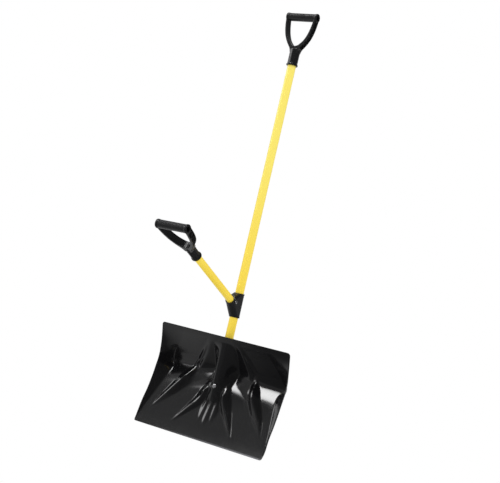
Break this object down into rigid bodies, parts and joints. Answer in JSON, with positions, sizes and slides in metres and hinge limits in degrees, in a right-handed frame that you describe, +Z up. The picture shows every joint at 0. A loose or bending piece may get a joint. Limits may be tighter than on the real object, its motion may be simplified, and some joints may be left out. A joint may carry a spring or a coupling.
{
  "type": "snow shovel",
  "caption": "Upright snow shovel with a ribbed black plastic scoop, a long yellow steel shaft with a D-grip, and a shorter second shaft and D-grip reaching forward from a moulded bracket.",
  "frame": {"origin": "middle of the scoop's leading edge, halfway through its thickness", "axes": "+Z up along the main shaft; -Y forward, the way the scoop's face looks and the second handle reaches; +X to the right of someone facing the scoop"},
  "size_m": [0.458, 0.4391, 1.2935],
  "materials": {
    "scoop_plastic": "glossy black moulded polyethylene",
    "grip_plastic": "semi-gloss black moulded plastic",
    "bracket_plastic": "satin black moulded plastic",
    "shaft_paint": "glossy lemon-yellow powder coat on steel tube",
    "zinc_steel": "bright zinc plate"
  },
  "bodies": {
    "root": {"scoop": "scoop_plastic", "main_shaft": "shaft_paint", "bracket": "bracket_plastic", "second_shaft": "shaft_paint", "top_grip": "grip_plastic", "second_grip": "grip_plastic", "scoop_bolt": "zinc_steel", "scoop_washer": "zinc_steel", "scoop_nut": "zinc_steel", "bracket_bolt": "zinc_steel", "bracket_nut": "zinc_steel", "bracket_screw": "zinc_steel", "top_grip_screw": "zinc_steel", "second_grip_screw": "zinc_steel"}
  },
  "joints": []
}
